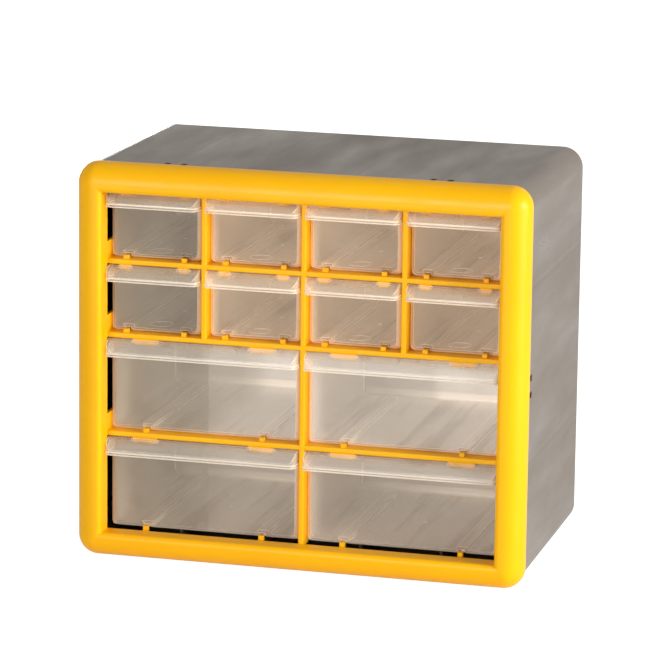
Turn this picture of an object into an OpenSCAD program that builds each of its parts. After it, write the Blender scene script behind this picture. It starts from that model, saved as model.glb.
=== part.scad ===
// Twelve-drawer parts cabinet: a moulded case, a drawer rack inside it, a clipped front
// frame and twelve clear drawers with hood pulls.
// Millimetres. X to the right, Y from front to back, Z up.
// The origin is the middle of the cabinet's footprint, on the surface it stands on.

/* [Cabinet] */
// Width over the front frame
cabinet_w = 265; // [255:0.5:280]
// Height over the front frame
cabinet_h = 231.5; // [229:0.5:245]
// Depth from the crest of the front frame to the back
cabinet_d = 155; // [145:1:170]
// Radius of the case's four long edges
corner_r = 12; // [12:0.5:16]

/* [Front frame] */
// Depth of the lattice behind the crest of the frame
lattice_recess = 13; // [12.8:0.1:15]
// Radius of the frame's outer front edge
bullnose_r = 11.5; // [9:0.1:11.9]
// Radius of the frame's inner front edge
inner_edge_r = 3; // [2:0.1:4]
// Thickness of the frame's skins
frame_skin = 2.2; // [1.8:0.1:2.6]
// Thickness of the shelf edges
shelf_t = 3; // [2.5:0.1:3.5]
// Width of the dividers between columns
divider_t = 3.1; // [2.5:0.1:3.5]
// Depth of the frame's shelves, front to back
shelf_depth = 17; // [14:0.5:18]
// Depth of the frame's dividers, front to back
divider_depth = 12; // [9:0.5:14]
// Height of the side guides at the foot of the upper rows
guide_h = 10; // [6:0.5:14]

/* [Cells] */
// Clear height of a small drawer's cell
small_cell_h = 40.2; // [38:0.1:41]
// Clear height of a large drawer's cell
large_cell_h = 55.2; // [52:0.1:56]
// Height of the lowest cells' floor
cell_floor_z = 15; // [14:0.1:16]
// Distance between the columns' dividers
column_pitch = 58.9; // [56:0.1:60]
// Half the width of the opening
opening_half = 116.4; // [116:0.1:117]

/* [Stops] */
// Width and depth of the pegs on the front edge of each cell's floor
peg_size = 2.9; // [2.4:0.1:3.2]
// Height of those pegs
peg_h = 2.3; // [1.8:0.1:3]
// How far the pegs of a small cell stand from its middle
small_peg_x = 17.3; // [14:0.1:19]
// How far the pegs of a large cell stand from its middle
large_peg_x = 34.8; // [30:0.1:40]
// Width of the tabs that hang over a small drawer
small_tab_w = 7; // [5:0.5:9]
// Width of the tabs that hang over a large drawer
large_tab_w = 15; // [10:0.5:18]
// How far the tabs hang down
tab_h = 3.2; // [2.5:0.1:3.4]

/* [Drawers] */
// Gap between a drawer and its cell, each side
side_gap = 0.35; // [0.3:0.05:0.6]
// Gap under and over a drawer
rest_gap = 0.3; // [0.2:0.05:0.5]
// Wall thickness of a drawer
drawer_wall = 1.4; // [1.2:0.1:1.8]
// Distance from the lattice's face back to a drawer's front wall
front_setback = 5.5; // [5:0.1:6]
// Length of a drawer from its front wall to its rear wall
drawer_l = 123; // [100:1:125]
// Radius of a drawer's four upright edges
drawer_plan_r = 3.2; // [2:0.1:4]
// Radius of a drawer's lower edges
drawer_low_r = 5; // [3:0.1:6]
// How far the hood pulls stand out in front of the lattice
hood_reach = 7.7; // [7:0.1:9]
// Slope of the hood pulls' upper side, in degrees
hood_slope = 23; // [15:1:28]
// Radius of the nose of a small drawer's hood
small_nose_r = 5; // [4:0.1:5.5]
// Radius of the nose of a large drawer's hood
large_nose_r = 6.4; // [5:0.1:6.6]
// Height of the bead along the free edge of a hood
hood_bead_h = 1.7; // [1.2:0.1:2.5]
// Clear width of the channels under a drawer's floor
channel_w = 3.8; // [3.7:0.1:5]
// Length of floor left behind a channel, which stops the drawer on its pegs
channel_stop = 13; // [12:1:20]

/* [Case and rack] */
// Thickness of the case's walls
case_wall = 2.2; // [1.8:0.1:2.6]
// How far the case stands in from the frame's outline
case_inset = 1; // [0.6:0.1:1.2]
// How far the case narrows from front to back, each side
case_draft = 0.9; // [0.4:0.1:1]
// Thickness of the rack's plates
rack_t = 2; // [1.6:0.1:2.4]
// Thickness of the ribs that hold the rack in the case
rib_t = 1.6; // [1.2:0.1:2]
// Distance of the outer pair of ribs and latches from the middle
outer_rib_x = 78; // [70:1:85]
// Distance of the inner pair of ribs from the middle
inner_rib_x = 30; // [20:1:40]
// Distance between the two hanging holes in the back
hanger_pitch = 150; // [100:5:180]

/* [Hidden] */
$fn = 64;

yellow = [0.98, 0.72, 0.1];
grey = [0.56, 0.53, 0.5];
natural = [0.84, 0.77, 0.68];
clear = [0.85, 0.82, 0.77, 0.6];

// Where things stand from front to back
front_y = -cabinet_d / 2;
back_y = cabinet_d / 2;
lattice_y = front_y + lattice_recess;
drawer_front_y = lattice_y + front_setback;
drawer_back_y = drawer_front_y + drawer_l;
rack_front_y = lattice_y + shelf_depth + 0.5;
rack_back_y = drawer_back_y + 2.5;

// Floors of the four rows of cells, from the lowest row up
row_4_z = cell_floor_z;
row_3_z = row_4_z + large_cell_h + shelf_t;
row_2_z = row_3_z + large_cell_h + shelf_t;
row_1_z = row_2_z + small_cell_h + shelf_t;
opening_top_z = row_1_z + small_cell_h;

// Middles and widths of the cells
large_cell_w = opening_half - divider_t / 2;
large_cell_x = (opening_half + divider_t / 2) / 2;
inner_cell_w = column_pitch - divider_t;
inner_cell_x = column_pitch / 2;
outer_cell_w = opening_half - column_pitch - divider_t / 2;
outer_cell_x = (opening_half + column_pitch + divider_t / 2) / 2;
small_drawer_w = inner_cell_w - 2 * side_gap;
large_drawer_w = large_cell_w - 2 * side_gap;
small_columns = [-outer_cell_x, -inner_cell_x, inner_cell_x, outer_cell_x];
large_columns = [-large_cell_x, large_cell_x];

// The seam between frame and case, and the lip of the case that enters the frame
seam_gap = 0.3;
case_front_y = lattice_y + seam_gap;
case_inner_inset = case_inset + case_draft + case_wall;
back_inner_y = back_y - case_wall;
lip_inset = frame_skin + 0.3;
lip_len = 3.3;
inner_skin = 1.6;
guide_t = 2;
latch_half_w = 3;
latch_slit_w = 3.5;
latch_slit_pitch = 9.8;
latch_slit_open = 10;
latch_bump = 0.5;
latch_y = [1.1, 2.7];
latch_z = cabinet_h / 2;
hole_r = 4.5;
hole_slot_r = 2.2;
hole_slot_h = 8;
hole_z = 0.72 * cabinet_h;
foot_r = 6;
foot_x = 105;
foot_y = [-48, 62];

// The rest of the drawer's construction
rim_drop = tab_h + 1.4;
top_gap = rest_gap + 0.2;
bead_proud = 0.4;
cheek_t = 1.2;
hood_plan_r = 3.5;
hood_root = drawer_wall - 0.3;
front_foot_r = 3;
peg_gap = 0.25;
peg_front_y = lattice_y + 1.7;
peg_back_y = peg_front_y + peg_size;
tab_front_y = lattice_y + 0.6;
tab_t = 1.8;
tab_slot_y = tab_front_y - 0.4;
tab_slot_gap = 0.6;

// ---- Helpers ----

// Height of the centre of a hood's nose, where its bead begins
function hood_centre_z(z_top, nose_r) =
    z_top - (hood_reach - nose_r * (1 - sin(hood_slope))) * tan(hood_slope) - nose_r * cos(hood_slope);

// A cube given by its lowest and highest corners
module block(low, high) {
    translate(low)
        cube(high - low);
}

// The shape turned so that its drawing plane is X and Z and it runs from y0 to y1
module along_y(y0, y1) {
    translate([0, y1, 0])
        rotate([90, 0, 0])
            linear_extrude(y1 - y0)
                children();
}

// The shape turned so that its drawing plane is Y and Z and it runs from x0 to x1
module along_x(x0, x1) {
    translate([x0, 0, 0])
        rotate([90, 0, 90])
            linear_extrude(x1 - x0)
                children();
}

// A rectangle from corner to corner with its four corners rounded
module round_rect(low, high, r) {
    square_low = [low[0] + r, low[1]];
    square_high = [high[0] - r, high[1]];
    translate(square_low)
        square(square_high - square_low);
    translate([low[0], low[1] + r])
        square([high[0] - low[0], high[1] - low[1] - 2 * r]);
    for (x = [low[0] + r, high[0] - r], z = [low[1] + r, high[1] - r])
        translate([x, z])
            circle(r);
}

// ---- Front frame ----

// Section of the frame's outer edge, drawn in by an inset: x counts in from the outside
// of the cabinet and y back from the crest
module edge_section(inset) {
    translate([bullnose_r, bullnose_r])
        circle(bullnose_r - inset);
    translate([bullnose_r, inset])
        square([corner_r - bullnose_r, lattice_recess - inset]);
}

// The straight part behind the rounded edge of the same section
module edge_tail(inset, length) {
    translate([inset, bullnose_r])
        square([corner_r - inset, length]);
}

// The same section with its rear edge rounded, as the outside of the frame has it
module outer_edge_section() {
    rear_round = 0.8;
    tail = lattice_recess - bullnose_r;
    intersection() {
        edge_section(0);
        square([corner_r, lattice_recess]);
    }
    edge_tail(0, tail - rear_round);
    edge_tail(rear_round, tail);
    translate([rear_round, lattice_recess - rear_round])
        circle(rear_round);
}

// The section of the hollow behind the frame's skin, open to the rear
module hollow_edge_section() {
    intersection() {
        edge_section(frame_skin);
        square([corner_r, bullnose_r]);
    }
    edge_tail(frame_skin, lattice_recess - bullnose_r + 1);
}

// Runs a section round the cabinet's outline and fills the middle from y0 to y1
module around_border(y0, y1) {
    half_w = cabinet_w / 2;
    block([-half_w + corner_r - 0.01, y0, corner_r - 0.01],
          [half_w - corner_r + 0.01, y1, cabinet_h - corner_r + 0.01]);
    for (side = [-1, 1])
        translate([side * half_w, front_y, corner_r])
            scale([-side, 1, 1])
                linear_extrude(cabinet_h - 2 * corner_r)
                    children();
    for (side = [-1, 1])
        translate([-half_w + corner_r, front_y, side < 0 ? 0 : cabinet_h])
            scale([1, 1, -side])
                rotate([90, 0, 90])
                    linear_extrude(cabinet_w - 2 * corner_r)
                        mirror([1, -1])
                            children();
    for (x = [-half_w + corner_r, half_w - corner_r], z = [corner_r, cabinet_h - corner_r])
        translate([x, front_y, z])
            rotate([-90, 0, 0])
                rotate_extrude()
                    translate([corner_r, 0])
                        mirror([1, 0])
                            children();
}

// Section of the opening, with its front edges rounded: x out from the middle, y back
module opening_section(half) {
    r = inner_edge_r;
    translate([-half, -1])
        square([2 * half, lattice_recess + 2]);
    difference() {
        translate([-half - r, -1])
            square([2 * (half + r), 1 + r]);
        for (side = [-1, 1])
            translate([side * (half + r), r])
                circle(r);
    }
}

// The opening through the border
module frame_opening() {
    middle_z = (cell_floor_z + opening_top_z) / 2;
    half_h = (opening_top_z - cell_floor_z) / 2;
    intersection() {
        translate([0, front_y, cell_floor_z - 10])
            linear_extrude(opening_top_z - cell_floor_z + 20)
                opening_section(opening_half);
        translate([-opening_half - 10, front_y, middle_z])
            rotate([90, 0, 90])
                linear_extrude(2 * opening_half + 20)
                    mirror([1, -1])
                        opening_section(half_h);
    }
}

// The hollow behind the border's skin, which the lip of the case enters
module border_hollow() {
    difference() {
        around_border(front_y + frame_skin, lattice_y + 1)
            hollow_edge_section();
        block([-opening_half - inner_skin, front_y, cell_floor_z - inner_skin],
              [opening_half + inner_skin, lattice_y + 2, opening_top_z + inner_skin]);
    }
}

// Places its children at the six latches, each with +X pointing out of the cabinet
module at_latches(inset) {
    half_w = cabinet_w / 2 - inset;
    for (side = [-1, 1]) {
        translate([side * outer_rib_x, 0, cabinet_h - inset])
            rotate([0, -90, 0])
                children();
        translate([side * outer_rib_x, 0, inset])
            rotate([0, 90, 0])
                children();
        translate([side * half_w, 0, latch_z])
            rotate([0, side < 0 ? 180 : 0, 0])
                children();
    }
}

// Section of a lattice bar, rounded on its front edges: x along its thickness, y back
module bar_section(thickness, depth) {
    r = 0.9;
    translate([-thickness / 2 + r, 0])
        square([thickness - 2 * r, depth]);
    translate([-thickness / 2, r])
        square([thickness, depth - r]);
    for (side = [-1, 1])
        translate([side * (thickness / 2 - r), r])
            circle(r);
}

// A shelf edge across the opening, with its top face at z
module frame_shelf(z) {
    translate([-opening_half, lattice_y, z - shelf_t / 2])
        rotate([90, 0, 90])
            linear_extrude(2 * opening_half)
                mirror([1, -1])
                    bar_section(shelf_t, shelf_depth);
}

// An upright divider between two cells
module frame_divider(x, z0, z1) {
    translate([x, lattice_y, z0])
        linear_extrude(z1 - z0)
            bar_section(divider_t, divider_depth);
}

// The low guides at both ends of one shelf
module frame_guides(z) {
    for (side = [-1, 1])
        translate([side * (opening_half + guide_t / 2), 0, 0])
            block([-guide_t / 2, lattice_y - 0.01, z - shelf_t],
                  [guide_t / 2, lattice_y + shelf_depth, z + guide_h]);
}

// The two pegs that stand on the front edge of a cell's floor
module cell_pegs(x, z, peg_x) {
    for (side = [-1, 1])
        block([x + side * peg_x - peg_size / 2, peg_front_y, z - inner_skin],
              [x + side * peg_x + peg_size / 2, peg_back_y, z + peg_h]);
}

// The two tabs that hang over a drawer, narrower at their lower edge
module cell_tabs(x, z, peg_x, tab_w) {
    taper = 0.8;
    for (side = [-1, 1])
        along_y(tab_front_y, tab_front_y + tab_t)
            translate([x + side * peg_x, z])
                polygon([
                    [-tab_w / 2, 1],
                    [-tab_w / 2, 0],
                    [-tab_w / 2 + taper, -tab_h],
                    [tab_w / 2 - taper, -tab_h],
                    [tab_w / 2, 0],
                    [tab_w / 2, 1]
                ]);
}

// The ledge behind the top border that carries the highest tabs, and the tongues behind
// the lower border that carry the lowest pegs
module frame_ledges() {
    block([-opening_half, lattice_y - 1, opening_top_z],
          [opening_half, lattice_y + shelf_depth, opening_top_z + inner_skin]);
    for (x = large_columns, side = [-1, 1])
        block([x + side * large_peg_x - peg_size / 2, lattice_y - 1, cell_floor_z - inner_skin],
              [x + side * large_peg_x + peg_size / 2, peg_back_y, cell_floor_z]);
}

module front_frame() {
    color(yellow) {
        difference() {
            around_border(front_y, lattice_y)
                outer_edge_section();
            frame_opening();
            border_hollow();
            // Pockets that the bumps of the case's latches press into
            at_latches(frame_skin)
                block([-1, lattice_y - latch_y[1] - 0.2, -latch_half_w - 0.8],
                      [latch_bump - lip_inset + frame_skin, lattice_y - latch_y[0] + 0.2,
                       latch_half_w + 0.8]);
        }
        frame_ledges();
        for (z = [row_1_z, row_2_z, row_3_z])
            frame_shelf(z);
        frame_divider(0, cell_floor_z - inner_skin, opening_top_z + inner_skin);
        for (x = [-column_pitch, column_pitch])
            frame_divider(x, row_2_z - shelf_t / 2, opening_top_z + inner_skin);
        for (z = [row_1_z, row_2_z, row_3_z])
            frame_guides(z);
        for (z = [row_1_z, row_2_z], x = small_columns) {
            cell_pegs(x, z, small_peg_x);
            cell_tabs(x, z + small_cell_h, small_peg_x, small_tab_w);
        }
        for (z = [row_3_z, row_4_z], x = large_columns) {
            cell_pegs(x, z, large_peg_x);
            cell_tabs(x, z + large_cell_h, large_peg_x, large_tab_w);
        }
    }
}

// ---- Case ----

// A straight rounded bar from front to back, as wide and high as the cabinet less an inset
module rounded_bar(inset, r, y0, y1) {
    half_w = cabinet_w / 2 - inset;
    along_y(y0, y1)
        round_rect([-half_w, inset], [half_w, cabinet_h - inset], r);
}

// Half-height or half-width of the case, tapering from front to back
module taper(half) {
    polygon([
        [-half, case_front_y],
        [half, case_front_y],
        [half - case_draft, back_y],
        [-half + case_draft, back_y]
    ]);
}

// A flat-sided bar that tapers on all four sides
module tapered_bar(half_w, half_h) {
    intersection() {
        linear_extrude(cabinet_h)
            taper(half_w);
        translate([-cabinet_w / 2, 0, cabinet_h / 2])
            rotate([90, 0, 90])
                linear_extrude(cabinet_w)
                    mirror([1, -1])
                        taper(half_h);
    }
}

// The round along one long edge of the case, which leans in with the taper
module long_edge(side_x, side_z, half_w, half_h) {
    lean = atan(case_draft / (back_y - case_front_y));
    translate([side_x * (half_w - corner_r), case_front_y, cabinet_h / 2 + side_z * (half_h - corner_r)])
        rotate([-90 - side_z * lean, 0, side_x * lean])
            translate([0, 0, -5])
                cylinder(h = back_y - case_front_y + 10, r = corner_r + 0.02);
}

// The outside of the case, without its lip
module case_body() {
    half_w = cabinet_w / 2 - case_inset;
    half_h = cabinet_h / 2 - case_inset;
    tapered_bar(half_w, half_h - corner_r);
    tapered_bar(half_w - corner_r, half_h);
    intersection() {
        tapered_bar(half_w, half_h);
        for (side_x = [-1, 1], side_z = [-1, 1])
            long_edge(side_x, side_z, half_w, half_h);
    }
}

// A keyhole through the back: a round hole with a narrower slot above it
module keyhole(x, z) {
    along_y(back_y - case_wall - 1, back_y + 1) {
        translate([x, z])
            circle(hole_r);
        translate([x, z + hole_slot_h])
            circle(hole_slot_r);
        translate([x - hole_slot_r, z])
            square([2 * hole_slot_r, hole_slot_h]);
    }
}

module case() {
    half_w = cabinet_w / 2;
    rack_half_w = opening_half + rack_t;
    rack_low_z = cell_floor_z - rack_t;
    rack_top_z = opening_top_z + rack_t;
    rib_gap = 0.2;
    rib_y0 = rack_front_y + 4;
    rib_y1 = back_inner_y + 0.5;
    rib_end = case_inner_inset - 1;
    color(grey) {
        difference() {
            union() {
                case_body();
                rounded_bar(lip_inset, corner_r - lip_inset, lattice_y - lip_len, case_front_y + 1);
                // Bumps on the latch tongues
                at_latches(lip_inset)
                    block([-1, lattice_y - latch_y[1], -latch_half_w],
                          [latch_bump, lattice_y - latch_y[0], latch_half_w]);
            }
            rounded_bar(case_inner_inset, corner_r - case_inner_inset + case_inset,
                        lattice_y - lip_len - 1, back_inner_y);
            // Slits beside the latch tongues
            at_latches(lip_inset)
                for (side = [-1, 1])
                    translate([0, 0, side * latch_slit_pitch / 2])
                        block([-4, lattice_y - lip_len - 1, -latch_slit_w / 2],
                              [4, lattice_y + latch_slit_open, latch_slit_w / 2]);
            for (side = [-1, 1])
                keyhole(side * hanger_pitch / 2, hole_z);
        }
        // Ribs from the top and the floor that grip the rack
        for (x = [-outer_rib_x, -inner_rib_x, inner_rib_x, outer_rib_x]) {
            block([x - rib_t / 2, rib_y0, rack_top_z + rib_gap],
                  [x + rib_t / 2, rib_y1, cabinet_h - rib_end]);
            block([x - rib_t / 2, rib_y0, rib_end],
                  [x + rib_t / 2, rib_y1, rack_low_z]);
        }
        // Ribs from both sides
        for (side = [-1, 1], z = [row_3_z - shelf_t / 2, row_1_z - shelf_t / 2])
            translate([side * (rack_half_w + half_w + rib_gap - rib_end) / 2, 0, z])
                block([-(half_w - rib_end - rack_half_w - rib_gap) / 2, rib_y0, -rib_t / 2],
                      [(half_w - rib_end - rack_half_w - rib_gap) / 2, rib_y1, rib_t / 2]);
        // Feet
        for (x = [-foot_x, foot_x], y = foot_y)
            translate([x, y, 0])
                cylinder(h = case_inset + case_draft + 1, r = foot_r);
    }
}

// ---- Drawer rack ----

// The rack's plate under a row of cells
module rack_plate(z) {
    half = opening_half + rack_t;
    block([-half, rack_front_y, z - rack_t], [half, rack_back_y, z]);
}

// The upstand at the back of a row of cells, which stops the drawers
module rack_stop(z) {
    stop_h = 6;
    block([-opening_half - 0.5, drawer_back_y + 0.5, z - 0.5],
          [opening_half + 0.5, rack_back_y, z + stop_h]);
}

module rack_upright(x0, x1, z0, z1) {
    block([x0, rack_front_y, z0], [x1, rack_back_y, z1]);
}

module drawer_rack() {
    top_z = opening_top_z + rack_t;
    half = opening_half + rack_t;
    color(natural) {
        for (z = [row_4_z, row_3_z, row_2_z, row_1_z, top_z])
            rack_plate(z);
        for (z = [row_4_z, row_3_z, row_2_z, row_1_z])
            rack_stop(z);
        rack_upright(-half, -opening_half, row_4_z - 1, top_z - 1);
        rack_upright(opening_half, half, row_4_z - 1, top_z - 1);
        rack_upright(-rack_t / 2, rack_t / 2, row_4_z - 1, top_z - 1);
        for (x = [-column_pitch, column_pitch])
            rack_upright(x - rack_t / 2, x + rack_t / 2, row_2_z - 1, top_z - 1);
    }
}

// ---- Drawers ----

// Plan of a drawer: its outline seen from above, drawn in by an inset
module drawer_plan(w, inset) {
    round_rect([-w / 2 + inset, drawer_front_y + inset],
               [w / 2 - inset, drawer_back_y - inset], drawer_plan_r - inset);
}

// Solid filling of a drawer's tray, drawn in by an inset on all sides but the top
module tray_solid(w, z0, z1, inset) {
    r = drawer_low_r - inset;
    over = 10;
    intersection() {
        translate([0, 0, z0 + inset])
            linear_extrude(z1 - z0 - inset)
                drawer_plan(w, inset);
        along_y(drawer_front_y - over, drawer_back_y + over)
            round_rect([-w / 2 + inset, z0 + inset], [w / 2 - inset, z1 + over], r);
        along_x(-w, w)
            round_rect([drawer_front_y + inset, z0 + inset],
                       [drawer_back_y - inset, z1 + over], front_foot_r - inset);
    }
}

// Section of a hood pull's shell, drawn in by an inset and ending at z_low: x is the
// distance back and y the height
module hood_section(z_top, nose_r, inset, z_low) {
    centre_y = lattice_y - hood_reach + nose_r;
    centre_z = hood_centre_z(z_top, nose_r);
    r = nose_r - inset;
    rear_y = drawer_front_y + hood_root;
    polygon([
        [centre_y - r * sin(hood_slope), centre_z + r * cos(hood_slope)],
        [lattice_y + inset * tan(hood_slope / 2), z_top - inset],
        [rear_y, z_top - inset],
        [rear_y, z_low],
        [centre_y - r, z_low],
        [centre_y - r, centre_z],
        [centre_y, centre_z]
    ]);
    intersection() {
        translate([centre_y, centre_z])
            circle(r);
        translate([centre_y - r, centre_z])
            square(r);
    }
}

// The hood pull: a curved awning with closed ends, open below for the fingers
module hood(w, z_top, nose_r) {
    front = lattice_y - hood_reach;
    lip_top = hood_centre_z(z_top, nose_r);
    lip_z = lip_top - hood_bead_h;
    difference() {
        union() {
            intersection() {
                along_x(-w / 2 + bead_proud, w / 2 - bead_proud)
                    hood_section(z_top, nose_r, 0, lip_z);
                translate([0, 0, lip_z - 1])
                    linear_extrude(z_top - lip_z + 2)
                        round_rect([-w / 2 + bead_proud, front],
                                   [w / 2 - bead_proud, drawer_back_y], hood_plan_r);
            }
            // The bead along the free edge, which turns back along both ends
            translate([0, 0, lip_z])
                linear_extrude(hood_bead_h)
                    hood_bead_plan(w);
        }
        intersection() {
            along_x(-w / 2 + cheek_t + bead_proud, w / 2 - cheek_t - bead_proud)
                hood_section(z_top, nose_r, drawer_wall, lip_z - 1);
            translate([0, 0, lip_z - 2])
                linear_extrude(z_top - lip_z + 2)
                    round_rect([-w / 2 + bead_proud + cheek_t, front + drawer_wall],
                               [w / 2 - bead_proud - cheek_t, drawer_back_y],
                               hood_plan_r - drawer_wall);
        }
    }
}

// Outline of the bead seen from above, as far back as the drawer's front wall
module hood_bead_plan(w) {
    front = lattice_y - hood_reach - bead_proud;
    intersection() {
        round_rect([-w / 2, front], [w / 2, drawer_back_y], hood_plan_r + bead_proud);
        translate([-w / 2, front])
            square([w, drawer_front_y + hood_root - front]);
    }
}

// The raised walls of a channel over the pegs, inside the tray
module channel_ridge(x, z0) {
    top_z = z0 + peg_h + peg_gap + 1.2;
    block([x - channel_w / 2 - 1.2, drawer_front_y + 0.5, z0 + 0.5],
          [x + channel_w / 2 + 1.2, drawer_back_y - channel_stop + 1.2, top_z]);
}

// The hollow of a channel, open below and through the front wall
module channel_hollow(x, z0) {
    block([x - channel_w / 2, drawer_front_y - 5, z0 - 5],
          [x + channel_w / 2, drawer_back_y - channel_stop, z0 + peg_h + peg_gap]);
}

// The slot in the top of a drawer's front that lets it slide past a tab
module tab_slot(x, top_z, tab_w) {
    half_w = tab_w / 2 + tab_slot_gap;
    block([x - half_w, tab_slot_y, top_z - tab_h - tab_slot_gap],
          [x + half_w, drawer_front_y + drawer_wall + 5, top_z + 1]);
}

// A whole drawer in the cell whose middle is x and whose floor is z
module drawer(x, z, cell_h, w, nose_r, peg_x, tab_w) {
    z0 = z + rest_gap;
    z_top = z + cell_h - top_gap;
    rim_z = z + cell_h - rim_drop;
    front_in_y = drawer_front_y + drawer_wall;
    color(clear)
        translate([x, 0, 0])
            difference() {
                union() {
                    difference() {
                        tray_solid(w, z0, z_top, 0);
                        tray_solid(w, z0, z_top + 1, drawer_wall);
                        // The side and rear walls end lower than the front wall
                        block([-w, front_in_y, rim_z], [w, drawer_back_y + 1, z_top + 5]);
                    }
                    intersection() {
                        for (side = [-1, 1])
                            channel_ridge(side * peg_x, z0);
                        tray_solid(w, z0, z_top, 0);
                    }
                    hood(w, z_top, nose_r);
                }
                for (side = [-1, 1]) {
                    channel_hollow(side * peg_x, z0);
                    tab_slot(side * peg_x, z + cell_h, tab_w);
                }
            }
}

module small_drawer(column, z) {
    drawer(small_columns[column], z, small_cell_h, small_drawer_w, small_nose_r,
           small_peg_x, small_tab_w);
}

module large_drawer(column, z) {
    drawer(large_columns[column], z, large_cell_h, large_drawer_w, large_nose_r,
           large_peg_x, large_tab_w);
}

case();
drawer_rack();
front_frame();
small_drawer(0, row_1_z);  // small_drawer_1_1
small_drawer(1, row_1_z);  // small_drawer_1_2
small_drawer(2, row_1_z);  // small_drawer_1_3
small_drawer(3, row_1_z);  // small_drawer_1_4
small_drawer(0, row_2_z);  // small_drawer_2_1
small_drawer(1, row_2_z);  // small_drawer_2_2
small_drawer(2, row_2_z);  // small_drawer_2_3
small_drawer(3, row_2_z);  // small_drawer_2_4
large_drawer(0, row_3_z);  // large_drawer_3_1
large_drawer(1, row_3_z);  // large_drawer_3_2
large_drawer(0, row_4_z);  // large_drawer_4_1
large_drawer(1, row_4_z);  // large_drawer_4_2
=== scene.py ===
"""Looks of the twelve-drawer parts cabinet: materials, moulding details, studio and camera."""

import math

import bmesh
import bpy
from mathutils import Matrix, Vector


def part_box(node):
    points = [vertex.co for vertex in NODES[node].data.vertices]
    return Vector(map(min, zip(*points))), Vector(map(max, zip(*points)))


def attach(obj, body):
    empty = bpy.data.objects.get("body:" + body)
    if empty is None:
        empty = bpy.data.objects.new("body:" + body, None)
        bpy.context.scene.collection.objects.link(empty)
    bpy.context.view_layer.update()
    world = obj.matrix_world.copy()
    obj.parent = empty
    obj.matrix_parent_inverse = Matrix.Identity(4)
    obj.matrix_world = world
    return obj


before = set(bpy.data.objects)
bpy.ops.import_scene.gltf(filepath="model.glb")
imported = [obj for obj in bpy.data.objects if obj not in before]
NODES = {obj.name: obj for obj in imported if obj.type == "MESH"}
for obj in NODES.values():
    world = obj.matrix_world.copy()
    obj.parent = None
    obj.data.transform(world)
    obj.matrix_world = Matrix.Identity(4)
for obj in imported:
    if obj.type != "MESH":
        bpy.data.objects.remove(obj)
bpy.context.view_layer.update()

SMALL_DRAWERS = [f"small_drawer_{r}_{c}" for r in (1, 2) for c in (1, 2, 3, 4)]
LARGE_DRAWERS = [f"large_drawer_{r}_{c}" for r in (3, 4) for c in (1, 2)]
DRAWERS = SMALL_DRAWERS + LARGE_DRAWERS
# One drawer of each row, from the lowest row up
ROWS = ("large_drawer_4_1", "large_drawer_3_1", "small_drawer_2_1", "small_drawer_1_1")


def middle_of(node):
    """Where a drawer's middle is across the cabinet."""
    low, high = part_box(node)
    return (low[0] + high[0]) / 2


def half_width_of(node):
    low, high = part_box(node)
    return (high[0] - low[0]) / 2


# ---- Places and sizes on the cabinet, in metres ----

# Gap under a drawer, and half the thickness of a shelf
REST_GAP = 0.0003
SHELF_HALF = 0.0015
# Floors of the rows' cells and tops of their drawers, from the lowest row up
ROW_Z = [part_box(name)[0][2] - REST_GAP for name in ROWS]
ROW_TOP = [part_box(name)[1][2] for name in ROWS]
# A point belongs to a row from this far under the row's floor
ROW_MARGIN = 0.0007
# From the middle of the shelf under the third row to the middle of the one above
THIRD_ROW = (ROW_Z[1] - SHELF_HALF, ROW_Z[2] - SHELF_HALF)

# Columns of small and of large drawers, and where the first column begins, left of the origin
SMALL_PITCH = middle_of("small_drawer_1_3") - middle_of("small_drawer_1_2")
LARGE_PITCH = middle_of("large_drawer_3_2") - middle_of("large_drawer_3_1")
SMALL_HALF = half_width_of("small_drawer_1_2")
LARGE_HALF = half_width_of("large_drawer_3_1")
COLUMN_START = 2 * SMALL_PITCH + 0.0001

# Where the case's hidden ribs pull its skin in, and half the width of the sink they leave
RIB_X = (0.078, 0.030)
RIB_Z = (ROW_Z[1] - SHELF_HALF, ROW_Z[3] - SHELF_HALF)
SINK_HALF = 0.0028

# A drawer's walls and the ends of its tray, without the hood
DRAWER_WALL = 0.0014
DRAWER_LENGTH = 0.123
DRAWER_BACK_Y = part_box(DRAWERS[0])[1][1]
DRAWER_FRONT_Y = DRAWER_BACK_Y - DRAWER_LENGTH
# Just in front of the trays' front walls, just behind them, and just before the rear walls
MARGIN = 0.0004
TRAY_FRONT_Y = DRAWER_FRONT_Y - MARGIN / 2
WALL_BACK_Y = DRAWER_FRONT_Y + DRAWER_WALL + MARGIN
TRAY_BACK_Y = DRAWER_BACK_Y - DRAWER_WALL - MARGIN
# How far back the side walls carry a painted reflection of the frame's yellow
SIDE_LIGHT_Y = DRAWER_FRONT_Y + 0.007

# How far the bead under a hood lies below the drawer's top, the bead's height, and half the
# width of the painted highlight line on each of its edges
LARGE_LIP_DROP = 0.0075
SMALL_LIP_DROP = 0.00658
LIP_HEIGHT = 0.0017
LIP_LINE_HALF = 0.0004
LIP_Z = ([top - LARGE_LIP_DROP for top in ROW_TOP[:2]]
         + [top - SMALL_LIP_DROP for top in ROW_TOP[2:]])

# The painted highlight line along the rounded edge of a tray's front wall: how far it lies
# inside the drawer's outline, the radius of its corners and half its width
RIM_RIGHT = 0.0031
RIM_LEFT = 0.0010
RIM_BOTTOM = 0.0013
RIM_R = 0.0042
RIM_LINE_HALF = 0.00055
# How far outside that line the painted reflection of the frame's yellow begins
RIM_LIGHT_START = 0.0004

# The stretch of x over which the shade at the left ends: inside the trays and on their fronts
SHADE_END_INSIDE = (-0.066, -0.054)
SHADE_END_FRONT = (-0.0578, -0.0568)
# The stretch beside a drawer's middle over which the painted glow on its rear wall sets in
REAR_SHADE_END = (-0.014, -0.008)

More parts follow.
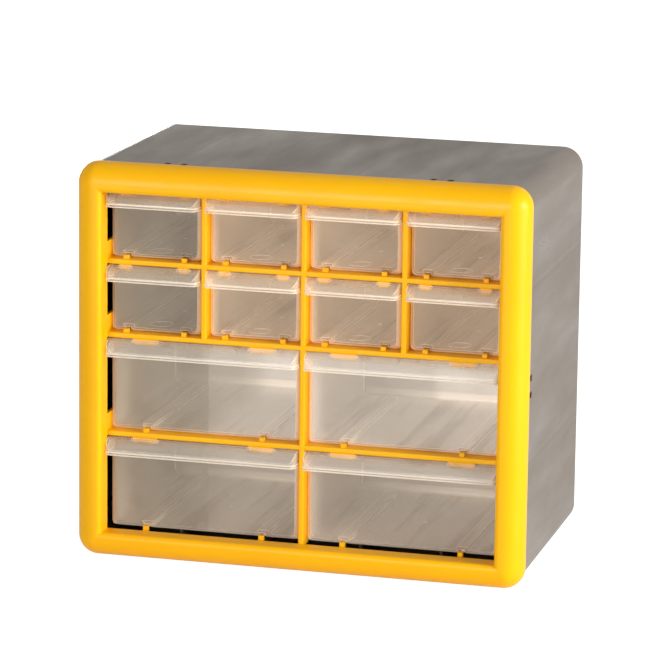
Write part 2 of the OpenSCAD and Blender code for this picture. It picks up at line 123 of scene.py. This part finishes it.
# The gate's dot and the ejector's ring on a drawer's floor
GATE_Y = -0.0027
GATE_R = 0.0011
GATE_H = 0.0005
EJECTOR_LEFT = 0.002
EJECTOR_Y = -0.0420
EJECTOR_R = 0.0065
EJECTOR_T = 0.0005
EJECTOR_H = 0.0003
MARK_DEPTH = 0.0001

WHITE = (1.0, 1.0, 1.0, 1.0)
BLACK = (0.0, 0.0, 0.0, 1.0)


# ---- Node trees ----

def rgb(r, g, b):
    """A display colour of 0 to 255 as the linear colour that a shader takes."""
    def linear(c):
        c /= 255
        return c / 12.92 if c <= 0.04045 else ((c + 0.055) / 1.055) ** 2.4
    return (linear(r), linear(g), linear(b), 1.0)


class Graph:
    """A material's node tree with short calls for the nodes that the materials share."""

    def __init__(self, name):
        self.material = bpy.data.materials.new(name)
        self.material.use_nodes = True
        self.tree = self.material.node_tree
        self.tree.nodes.clear()
        self.output = self.tree.nodes.new("ShaderNodeOutputMaterial")
        self.coords = self.tree.nodes.new("ShaderNodeTexCoord").outputs["Object"]

    def put(self, value, socket):
        """Links an output to the socket, or sets the socket to a plain value."""
        if hasattr(value, "is_output"):
            self.tree.links.new(value, socket)
        else:
            socket.default_value = value

    def node(self, kind, **inputs):
        made = self.tree.nodes.new(kind)
        for key, value in inputs.items():
            self.put(value, made.inputs[key])
        return made

    def finish(self, surface):
        self.put(surface, self.output.inputs["Surface"])
        return self.material

    def math(self, operation, a, b=0.0, clamp=False):
        made = self.tree.nodes.new("ShaderNodeMath")
        made.operation = operation
        made.use_clamp = clamp
        self.put(a, made.inputs[0])
        self.put(b, made.inputs[1])
        return made.outputs[0]

    def chain(self, operation, first, others):
        for other in others:
            first = self.math(operation, first, other)
        return first

    def times(self, first, *others):
        return self.chain("MULTIPLY", first, others)

    def plus(self, first, *others):
        return self.chain("ADD", first, others)

    def most(self, first, *others):
        return self.chain("MAXIMUM", first, others)

    def less(self, a, b):
        """a less b."""
        return self.math("SUBTRACT", a, b)

    def flip(self, value):
        """1 for 0 and 0 for 1."""
        return self.math("SUBTRACT", 1.0, value)

    def above(self, value, limit):
        return self.math("GREATER_THAN", value, limit)

    def below(self, value, limit):
        return self.math("LESS_THAN", value, limit)

    def span(self, value, low, high, start=0.3, end=0.7):
        """From low to high as the value goes from start to end, and level beyond them. The
        start and the end that are set here are those of a noise."""
        made = self.node("ShaderNodeMapRange", **{
            "Value": value,
            "From Min": start,
            "From Max": end,
            "To Min": low,
            "To Max": high,
        })
        return made.outputs["Result"]

    def rise(self, value, start=0.3, end=0.7):
        return self.span(value, 0.0, 1.0, start, end)

    def fall(self, value, start, end):
        return self.span(value, 1.0, 0.0, start, end)

    def dip(self, value, centre, half_width):
        """1 where the value is at the centre, falling smoothly to 0 at the half width."""
        away = self.math("ABSOLUTE", self.less(value, centre))
        near = self.math("SUBTRACT", 1.0, self.math("DIVIDE", away, half_width), clamp=True)
        return self.times(near, near, self.math("SUBTRACT", 3.0, self.times(near, 2.0)))

    def noise(self, scale, detail=2.0, roughness=0.5, stretch=None):
        vector = self.coords
        if stretch:
            vector = self.node("ShaderNodeMapping", Vector=vector, Scale=stretch).outputs["Vector"]
        made = self.node("ShaderNodeTexNoise", Vector=vector, Scale=scale, Detail=detail,
                         Roughness=roughness)
        return made.outputs["Fac"]

    def mix(self, factor, a, b):
        """Colour a where the factor is 0 and colour b where it is 1."""
        made = self.tree.nodes.new("ShaderNodeMix")
        made.data_type = "RGBA"
        self.put(factor, made.inputs[0])
        self.put(a, made.inputs[6])
        self.put(b, made.inputs[7])
        return made.outputs[2]

    def split(self, vector):
        """The vector's X, Y and Z."""
        made = self.node("ShaderNodeSeparateXYZ", Vector=vector)
        return made.outputs["X"], made.outputs["Y"], made.outputs["Z"]

    def normal(self):
        return self.tree.nodes.new("ShaderNodeNewGeometry").outputs["Normal"]

    def bevel(self, radius, samples=4):
        """The normal, turned as if the sharp edges had this radius."""
        made = self.node("ShaderNodeBevel", Radius=radius)
        made.samples = samples
        return made.outputs["Normal"]

    def edge(self, radius, gain):
        """0 on a flat or gently curved surface, rising towards 1 on its sharp edges."""
        dot = self.tree.nodes.new("ShaderNodeVectorMath")
        dot.operation = "DOT_PRODUCT"
        self.put(self.bevel(radius, samples=6), dot.inputs[0])
        self.put(self.normal(), dot.inputs[1])
        return self.math("MULTIPLY", self.flip(dot.outputs["Value"]), gain, clamp=True)

    def bump(self, height, distance, strength, normal=None):
        made = self.node("ShaderNodeBump", Height=height, Distance=distance, Strength=strength)
        if normal is not None:
            self.put(normal, made.inputs["Normal"])
        return made.outputs["Normal"]

    def plastic(self, colour, roughness, normal, ior):
        return self.node("ShaderNodeBsdfPrincipled", **{
            "Base Color": colour,
            "Roughness": roughness,
            "Normal": normal,
            "IOR": ior,
        })


# ---- Coloured plastics ----

def yellow_plastic():
    """Glossy yellow of the frame, with the faint waves of a moulded skin."""
    g = Graph("yellow_plastic")
    cloud = g.rise(g.noise(14.0, detail=3.0))
    colour = g.mix(cloud, rgb(252, 184, 6), rgb(254, 191, 9))
    rough = g.span(g.noise(60.0, detail=3.0), 0.30, 0.40)
    grain = g.noise(2600.0)
    wave = g.noise(30.0, detail=1.0)
    height = g.plus(g.times(grain, 0.12), wave)
    normal = g.bump(height, distance=0.00012, strength=0.5, normal=g.bevel(0.0005))
    return g.finish(g.plastic(colour, rough, normal, ior=1.3).outputs["BSDF"])


def rib_sinks(g):
    """1 along the lines where the case's ribs pull its skin in."""
    x, _, z = g.split(g.coords)
    across = g.math("ABSOLUTE", x)
    upright = [g.dip(across, rib, SINK_HALF) for rib in RIB_X]
    level = [g.dip(z, rib, SINK_HALF) for rib in RIB_Z]
    return g.most(*upright, *level)


def grey_plastic():
    """Satin grey of the case, with uneven gloss, waves and the sinks over its ribs."""
    g = Graph("grey_plastic")
    cloud = g.rise(g.noise(9.0, detail=4.0, stretch=(1.0, 0.35, 1.0)))
    colour = g.mix(cloud, rgb(104, 96, 88), rgb(115, 106, 98))
    rough = g.span(g.noise(34.0, detail=5.0, stretch=(1.0, 0.22, 1.0)), 0.24, 0.5)
    grain = g.noise(1500.0)
    wave = g.noise(22.0, detail=1.0)
    height = g.plus(g.times(grain, 0.2), g.times(wave, 3.0))
    height = g.less(height, g.times(rib_sinks(g), 4.0))
    normal = g.bump(height, distance=0.0001, strength=0.8, normal=g.bevel(0.0007))
    return g.finish(g.plastic(colour, rough, normal, ior=1.5).outputs["BSDF"])


def rack_plastic():
    """Pale natural plastic of the rack behind the frame."""
    g = Graph("rack_plastic")
    cloud = g.rise(g.noise(12.0, detail=3.0))
    colour = g.mix(cloud, rgb(232, 216, 196), rgb(240, 226, 207))
    rough = g.span(g.noise(50.0), 0.45, 0.55)
    normal = g.bump(g.noise(1500.0), distance=0.00004, strength=0.5)
    return g.finish(g.plastic(colour, rough, normal, ior=1.5).outputs["BSDF"])


# ---- Clear plastic ----

class DrawerGraph(Graph):
    """The clear plastic's node tree. Its masks of 0 to 1 say where on a drawer a point is."""

    def __init__(self, name):
        super().__init__(name)
        self.x, self.y, self.z = self.split(self.coords)
        self.normal_x, self.normal_y, self.normal_z = self.split(self.normal())
        self.hood = self.below(self.y, TRAY_FRONT_Y)
        self.tray = self.flip(self.hood)
        self.front = self.below(self.y, WALL_BACK_Y)
        self.inside = self.flip(self.front)
        self.front_wall = self.times(self.front, self.tray)
        self.lowest = self.below(self.z, THIRD_ROW[0])
        self.third = self.times(self.flip(self.lowest), self.below(self.z, THIRD_ROW[1]))
        self.small = self.above(self.z, ROW_Z[2] - ROW_MARGIN)
        self.lit = self.lit_side()
        self.right = self.right_of_middle()
        self.past_rim = self.outside_rim()

    def lit_side(self):
        """0 at the cabinet's left, which lies in shade, and 1 from the first divider on."""
        inside = self.rise(self.x, *SHADE_END_INSIDE)
        front = self.rise(self.x, *SHADE_END_FRONT)
        lit = self.plus(self.times(inside, self.inside), self.times(front, self.front))
        # The hoods stand out into the light and are nearly alike on both sides
        return self.most(lit, self.times(self.hood, 0.5))

    def right_of_middle(self):
        """Distance to the right of the middle of the drawer that the point is on."""
        start = self.plus(self.x, COLUMN_START)
        in_large = self.less(self.math("MODULO", start, LARGE_PITCH), LARGE_PITCH / 2)
        in_small = self.less(self.math("MODULO", start, SMALL_PITCH), SMALL_PITCH / 2)
        return self.plus(self.times(in_small, self.small),
                         self.times(in_large, self.flip(self.small)))

    def row_floor(self):
        """Height of the floor of the row that the point is in."""
        floor = 0.0
        for low, high in zip([0.0] + ROW_Z, ROW_Z):
            floor = self.plus(floor, self.times(self.above(self.z, high - ROW_MARGIN), high - low))
        return floor

    def outside_rim(self):
        """Distance outside the painted highlight line along a tray's front rim, less than 0 inside
        it.
        """
        half = self.span(self.small, LARGE_HALF, SMALL_HALF, start=0.0, end=1.0)
        past_right = self.less(self.right, self.less(half, RIM_RIGHT + RIM_R))
        past_left = self.less(self.times(self.right, -1.0), self.less(half, RIM_LEFT + RIM_R))
        past_side = self.most(past_right, past_left, 0.0)
        past_foot = self.less(self.plus(self.row_floor(), RIM_BOTTOM + RIM_R), self.z)
        past_foot = self.most(past_foot, 0.0)
        away = self.plus(self.times(past_side, past_side), self.times(past_foot, past_foot))
        return self.less(self.math("SQRT", away), RIM_R)

    def base_colour(self):
        """Cool in the shade and warm beside it, with darker streaks along the drawers' floors
        that are painted reflections of the ribs along them.
        """
        cloud = self.rise(self.noise(26.0, detail=3.0, stretch=(1.0, 0.4, 1.0)))
        cool = self.mix(cloud, rgb(222, 212, 194), rgb(232, 221, 204))
        warm = self.mix(cloud, rgb(248, 228, 203), rgb(253, 235, 212))
        # The third row catches the most light, the lowest one the least
        warm = self.mix(self.third, warm, rgb(243, 236, 227))
        warm = self.mix(self.lowest, warm, rgb(230, 220, 208))
        colour = self.mix(self.lit, cool, warm)
        level = self.above(self.math("ABSOLUTE", self.normal_z), 0.9)
        # Painted reflections of the floors' ribs: darker streaks on level faces
        lengthwise = self.noise(75.0, detail=3.0, roughness=0.6, stretch=(1.0, 0.07, 1.0))
        painted_rib_reflection = self.rise(lengthwise, 0.52, 0.66)
        return self.mix(self.times(painted_rib_reflection, level, 0.55), colour, rgb(150, 120, 92))

    def front_rounds(self):
        """The rounds between a tray's front wall and its sides and floor, by how far their
        normals turn forwards, where a painted highlight lies."""
        forward = self.times(self.normal_y, -1.0)
        rounded = self.times(self.rise(forward, 0.12, 0.3), self.fall(forward, 0.72, 0.93))
        return self.times(rounded, self.fall(self.normal_z, 0.05, 0.25), self.tray)

    def lip_highlights(self):
        """Painted highlight lines on both edges of the bead under each hood, along their whole
        length.
        """
        lines = [self.dip(self.z, top - drop, LIP_LINE_HALF)
                 for top in LIP_Z for drop in (0.0, LIP_HEIGHT)]
        return self.times(self.most(*lines), self.hood)

    def painted_highlights(self):
        """Painted highlights on the moulding's edges, rounds, hood beads and rims, which stand for
        the light that runs inside the plastic and comes out there.
        """
        edges = self.edge(radius=0.0009, gain=11.0)
        rounds = self.times(self.front_rounds(), 0.75)
        rim = self.times(self.dip(self.past_rim, 0.0, RIM_LINE_HALF), self.front_wall, 0.7)
        return self.most(edges, rounds, self.lip_highlights(), rim)

    def painted_frame_reflection(self):
        """Where a painted reflection of the dividers' yellow lies: on the fronts of the side walls,
        and to the right of the front wall's rim line."""
        sideways = self.rise(self.math("ABSOLUTE", self.normal_x), 0.45, 0.8)
        sides = self.times(sideways, self.tray, self.below(self.y, SIDE_LIGHT_Y))
        outside = self.times(self.above(self.past_rim, RIM_LIGHT_START),
                             self.above(self.right, 0.0), self.front_wall)
        return self.most(sides, outside)

    def opacity(self, lines):
        """How much of the light the skin holds back. Shadows are lighter than that."""
        weight = self.node("ShaderNodeLayerWeight", Blend=0.35)
        grazing = self.times(weight.outputs["Facing"], 0.45)
        skin = self.span(self.lit, 0.17, 0.14, start=0.0, end=1.0)
        haze = self.span(self.noise(34.0, detail=4.0), -0.03, 0.03)
        # Floor, sides and back are seen through the front wall, and look milkier than it does
        milky = self.plus(self.times(self.hood, 0.03), self.times(self.inside, 0.26))
        alpha = self.plus(grazing, skin, milky, haze)
        alpha = self.math("ADD", alpha, self.times(lines, 0.6), clamp=True)
        shadow = self.node("ShaderNodeLightPath").outputs["Is Shadow Ray"]
        return self.times(alpha, self.flip(self.times(shadow, 0.85)))

    def painted_glow(self):
        """Strength of a painted glow inside the trays, an emission that stands for the light the
        milky plastic carries into them.
        """
        rear = self.span(self.right, 0.0, 0.25, *REAR_SHADE_END)
        rear = self.times(rear, self.above(self.y, TRAY_BACK_Y))
        glow = self.plus(self.times(self.third, self.plus(rear, 0.05)), 0.045)
        lit = self.span(self.lit, 0.5, 1.0, start=0.0, end=1.0)
        return self.times(glow, lit, self.inside)


def clear_plastic():
    """Milky clear plastic: part of the light goes straight through each skin, and the edges and
    rounded corners of the moulding carry painted highlights for the light that runs inside it."""
    g = DrawerGraph("clear_plastic")
    highlights = g.painted_highlights()
    yellow_reflection = g.painted_frame_reflection()
    # Painted highlights: the moulding's lines are mixed towards near white
    colour = g.mix(g.times(highlights, 0.8), g.base_colour(), rgb(255, 244, 228))
    # Painted reflection of the frame's yellow
    colour = g.mix(g.times(yellow_reflection, 0.6), colour, rgb(240, 184, 106))
    rough = g.span(g.noise(90.0, detail=3.0), 0.10, 0.18)
    normal = g.bump(g.noise(38.0), distance=0.00015, strength=0.5)
    skin = g.plastic(colour, rough, normal, ior=1.49)
    # Painted light: the trays' insides emit their own colour, though no lamp is there
    g.put(colour, skin.inputs["Emission Color"])
    g.put(g.painted_glow(), skin.inputs["Emission Strength"])
    # Painted shade: left of the first divider, the front walls and hoods tint what shows through
    # them
    shade = g.times(g.front, g.flip(g.lit))
    through = g.node("ShaderNodeBsdfTransparent", Color=g.mix(shade, WHITE, rgb(240, 241, 243)))
    both = g.tree.nodes.new("ShaderNodeMixShader")
    g.put(g.opacity(g.most(highlights, yellow_reflection)), both.inputs[0])
    g.put(through.outputs[0], both.inputs[1])
    g.put(skin.outputs["BSDF"], both.inputs[2])
    return g.finish(both.outputs[0])


# ---- Moulding marks ----

def add_circle(mesh, centre, radius, height, segments):
    """A circle of new vertices, this high above the centre."""
    turns = [2 * math.pi * i / segments for i in range(segments)]
    return [mesh.verts.new((centre[0] + radius * math.cos(turn),
                            centre[1] + radius * math.sin(turn),
                            centre[2] + height)) for turn in turns]


def add_band(mesh, low, high):
    """Faces between two circles with as many vertices."""
    for i in range(len(low)):
        n = (i + 1) % len(low)
        mesh.faces.new((low[i], low[n], high[n], high[i]))


def ring(mesh, centre, radius, thickness, height, segments=36):
    """A thin raised ring, such as an ejector pin leaves."""
    half = thickness / 2
    profile = ((-half, 0.0), (-half / 2, height), (half / 2, height), (half, 0.0))
    circles = [add_circle(mesh, centre, radius + out, up, segments) for out, up in profile]
    for k, circle in enumerate(circles):
        add_band(mesh, circle, circles[(k + 1) % len(circles)])


def button(mesh, centre, radius, height, segments=20):
    """A low domed disc, such as the trimmed gate of a moulding."""
    levels = ((1.0, 0.0), (0.92, 0.6), (0.6, 0.95))
    circles = [add_circle(mesh, centre, radius * wide, height * up, segments) for wide, up in levels]
    for low, high in zip(circles, circles[1:]):
        add_band(mesh, low, high)
    top = mesh.verts.new((centre[0], centre[1], centre[2] + height))
    last = circles[-1]
    for i in range(segments):
        mesh.faces.new((last[i], last[(i + 1) % segments], top))
    mesh.faces.new(list(reversed(circles[0])))


def mould_marks(node, material):
    """The marks of the mould on a drawer's floor: its gate and, in a small one, an ejector."""
    low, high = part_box(node)
    x = (low[0] + high[0]) / 2
    foot = low[2] + DRAWER_WALL - MARK_DEPTH
    mesh = bmesh.new()
    button(mesh, (x, GATE_Y, foot), GATE_R, GATE_H)
    if node in SMALL_DRAWERS:
        ring(mesh, (x - EJECTOR_LEFT, EJECTOR_Y, foot), EJECTOR_R, EJECTOR_T, EJECTOR_H)
    bmesh.ops.recalc_face_normals(mesh, faces=mesh.faces)
    data = bpy.data.meshes.new(node + "_marks")
    mesh.to_mesh(data)
    mesh.free()
    for face in data.polygons:
        face.use_smooth = True
    piece = bpy.data.objects.new(node + "_marks", data)
    bpy.context.collection.objects.link(piece)
    data.materials.append(material)
    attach(piece, node)


def dress(node, material):
    mesh = NODES[node].data
    mesh.materials.clear()
    mesh.materials.append(material)


clear = clear_plastic()
dress("front_frame", yellow_plastic())
dress("case", grey_plastic())
dress("drawer_rack", rack_plastic())
for name in DRAWERS:
    dress(name, clear)
    mould_marks(name, clear)


# ---- Studio ----

FLOOR_HALF = 7.0
FLOOR_DROP = 0.0001
# The glow that makes the floor white to the camera, and the share of it in reflections
FLOOR_GLOW = 0.9
FLOOR_REFLECTED = 0.45
# The light from all round: its colour, its strength, and what reflections see on top of that
AMBIENT_COLOUR = (1.0, 0.95, 0.895, 1.0)
AMBIENT = 0.25
BACKDROP_REFLECTED = 0.45

# The lamps are aimed at the cabinet's middle, the one above it a little lower
MIDDLE = (0.0, 0.0, 0.12)
BELOW_MIDDLE = (0.0, 0.0, 0.1)

CAMERA_PLACE = (0.6102, -2.27776, 0.64798)
CAMERA_AZIMUTH = math.radians(14.99)
CAMERA_ELEVATION = math.radians(12.49)
CAMERA_ROLL = math.radians(0.72)
CAMERA_SENSOR = 36.0
CAMERA_LENS = 224.35
CAMERA_REACH = 50.0


def floor_material():
    """White floor that keeps the object's shadow."""
    g = Graph("studio_floor")
    path = g.node("ShaderNodeLightPath").outputs
    seen = g.most(path["Is Camera Ray"], path["Is Transmission Ray"],
                  g.times(path["Is Glossy Ray"], FLOOR_REFLECTED))
    grain = g.span(g.noise(3.0), 0.78, 0.8)
    diffuse = g.node("ShaderNodeBsdfDiffuse", Color=g.mix(grain, BLACK, WHITE))
    glow = g.node("ShaderNodeEmission", Strength=g.times(seen, FLOOR_GLOW))
    both = g.tree.nodes.new("ShaderNodeAddShader")
    g.put(diffuse.outputs[0], both.inputs[0])
    g.put(glow.outputs[0], both.inputs[1])
    return g.finish(both.outputs[0])


def make_floor():
    half = FLOOR_HALF
    mesh = bpy.data.meshes.new("studio_floor")
    mesh.from_pydata([(-half, -half, 0), (half, -half, 0), (half, half, 0), (-half, half, 0)],
                     [], [(0, 1, 2, 3)])
    floor = bpy.data.objects.new("studio_floor", mesh)
    floor.location.z = -FLOOR_DROP
    bpy.context.collection.objects.link(floor)
    mesh.materials.append(floor_material())


def make_world():
    """White to the camera, and a soft warm light from all round to everything else."""
    world = bpy.data.worlds.new("studio")
    bpy.context.scene.world = world
    world.use_nodes = True
    tree = world.node_tree
    tree.nodes.clear()
    path = tree.nodes.new("ShaderNodeLightPath")
    # Reflections see a lighter backdrop than the one that lights the cabinet
    strength = tree.nodes.new("ShaderNodeMath")
    strength.operation = "MULTIPLY_ADD"
    tree.links.new(path.outputs["Is Glossy Ray"], strength.inputs[0])
    strength.inputs[1].default_value = BACKDROP_REFLECTED
    strength.inputs[2].default_value = AMBIENT
    ambient = tree.nodes.new("ShaderNodeBackground")
    ambient.inputs["Color"].default_value = AMBIENT_COLOUR
    tree.links.new(strength.outputs[0], ambient.inputs["Strength"])
    white = tree.nodes.new("ShaderNodeBackground")
    white.inputs["Color"].default_value = WHITE
    white.inputs["Strength"].default_value = 1.0
    mix = tree.nodes.new("ShaderNodeMixShader")
    tree.links.new(path.outputs["Is Camera Ray"], mix.inputs[0])
    tree.links.new(ambient.outputs[0], mix.inputs[1])
    tree.links.new(white.outputs[0], mix.inputs[2])
    out = tree.nodes.new("ShaderNodeOutputWorld")
    tree.links.new(mix.outputs[0], out.inputs["Surface"])


def area_light(name, place, target, size, power, colour=(1.0, 1.0, 1.0)):
    data = bpy.data.lights.new(name, "AREA")
    data.shape = "RECTANGLE"
    data.size, data.size_y = size
    data.energy = power
    data.color = colour
    lamp = bpy.data.objects.new(name, data)
    lamp.location = place
    lamp.rotation_euler = (Vector(target) - Vector(place)).to_track_quat("-Z", "Y").to_euler()
    bpy.context.collection.objects.link(lamp)


def make_lights():
    area_light("key", (2.1, -0.5, 0.5), MIDDLE, size=(0.9, 0.9), power=55.0,
               colour=(1.0, 0.97, 0.92))
    area_light("front", (-0.5, -2.5, 0.45), MIDDLE, size=(1.3, 0.6), power=29.0,
               colour=(1.0, 0.98, 0.95))
    area_light("strip", (-0.1, -1.6, 1.5), MIDDLE, size=(1.4, 0.12), power=1.0)
    area_light("top", (0.2, 0.6, 2.0), BELOW_MIDDLE, size=(1.6, 1.6), power=2.0)
    area_light("back", (-1.1, 2.2, 0.1), MIDDLE, size=(1.2, 0.18), power=16.0)


def make_camera():
    """The photograph's view: 15 degrees to the right of the front and a little above."""
    flat = math.cos(CAMERA_ELEVATION)
    forward = Vector((-math.sin(CAMERA_AZIMUTH) * flat,
                      math.cos(CAMERA_AZIMUTH) * flat,
                      -math.sin(CAMERA_ELEVATION)))
    level_right = Vector((math.cos(CAMERA_AZIMUTH), math.sin(CAMERA_AZIMUTH), 0.0))
    level_up = level_right.cross(forward)
    right = level_right * math.cos(CAMERA_ROLL) + level_up * math.sin(CAMERA_ROLL)
    up = level_up * math.cos(CAMERA_ROLL) - level_right * math.sin(CAMERA_ROLL)
    data = bpy.data.cameras.new("camera")
    data.sensor_width = CAMERA_SENSOR
    data.lens = CAMERA_LENS
    data.clip_end = CAMERA_REACH
    camera = bpy.data.objects.new("camera", data)
    basis = Matrix((right, up, -forward)).transposed().to_4x4()
    camera.matrix_world = Matrix.Translation(CAMERA_PLACE) @ basis
    bpy.context.collection.objects.link(camera)
    bpy.context.scene.camera = camera


make_floor()
make_world()
make_lights()
make_camera()
bpy.context.scene.view_settings.view_transform = "Standard"
